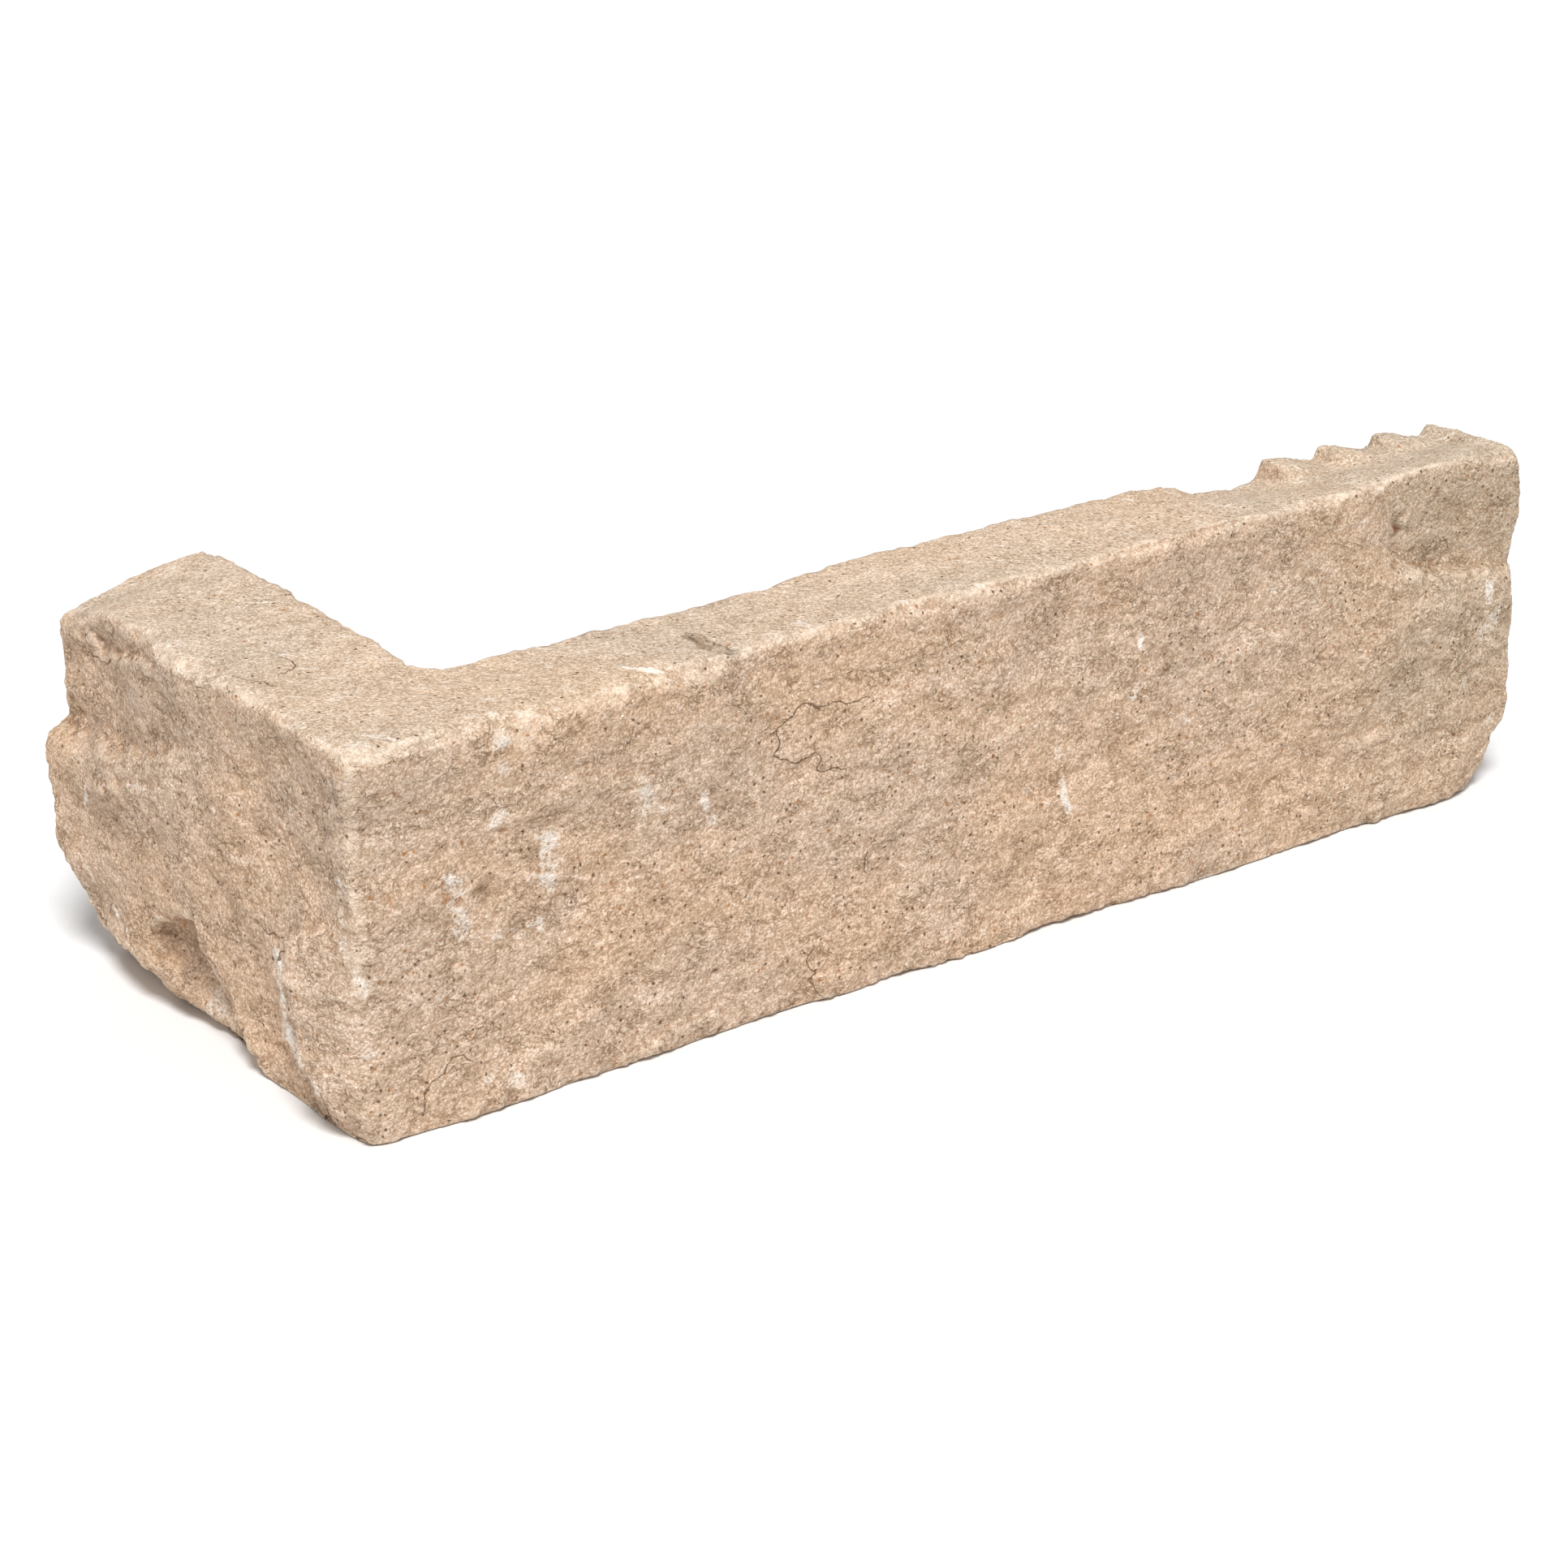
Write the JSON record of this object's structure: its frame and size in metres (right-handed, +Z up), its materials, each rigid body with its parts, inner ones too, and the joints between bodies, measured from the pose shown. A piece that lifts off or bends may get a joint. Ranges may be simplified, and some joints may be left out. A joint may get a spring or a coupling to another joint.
{
  "type": "stone cladding corner piece",
  "caption": "L-shaped corner slip of natural sandstone with two split outer faces, sawn inner faces and a flat bed, for turning a clad wall's outer corner.",
  "frame": {"origin": "middle of the footprint's box, on the bed", "axes": "+X along the long leg, from the outer corner to its broken end; +Y along the short leg, from the outer corner towards the wall that the long leg is bonded to; +Z up, out of the bed"},
  "size_m": [0.2555, 0.0987, 0.0668],
  "materials": {
    "sandstone": "split and sawn, matt"
  },
  "bodies": {
    "root": {"stone_corner": "sandstone"}
  },
  "joints": []
}
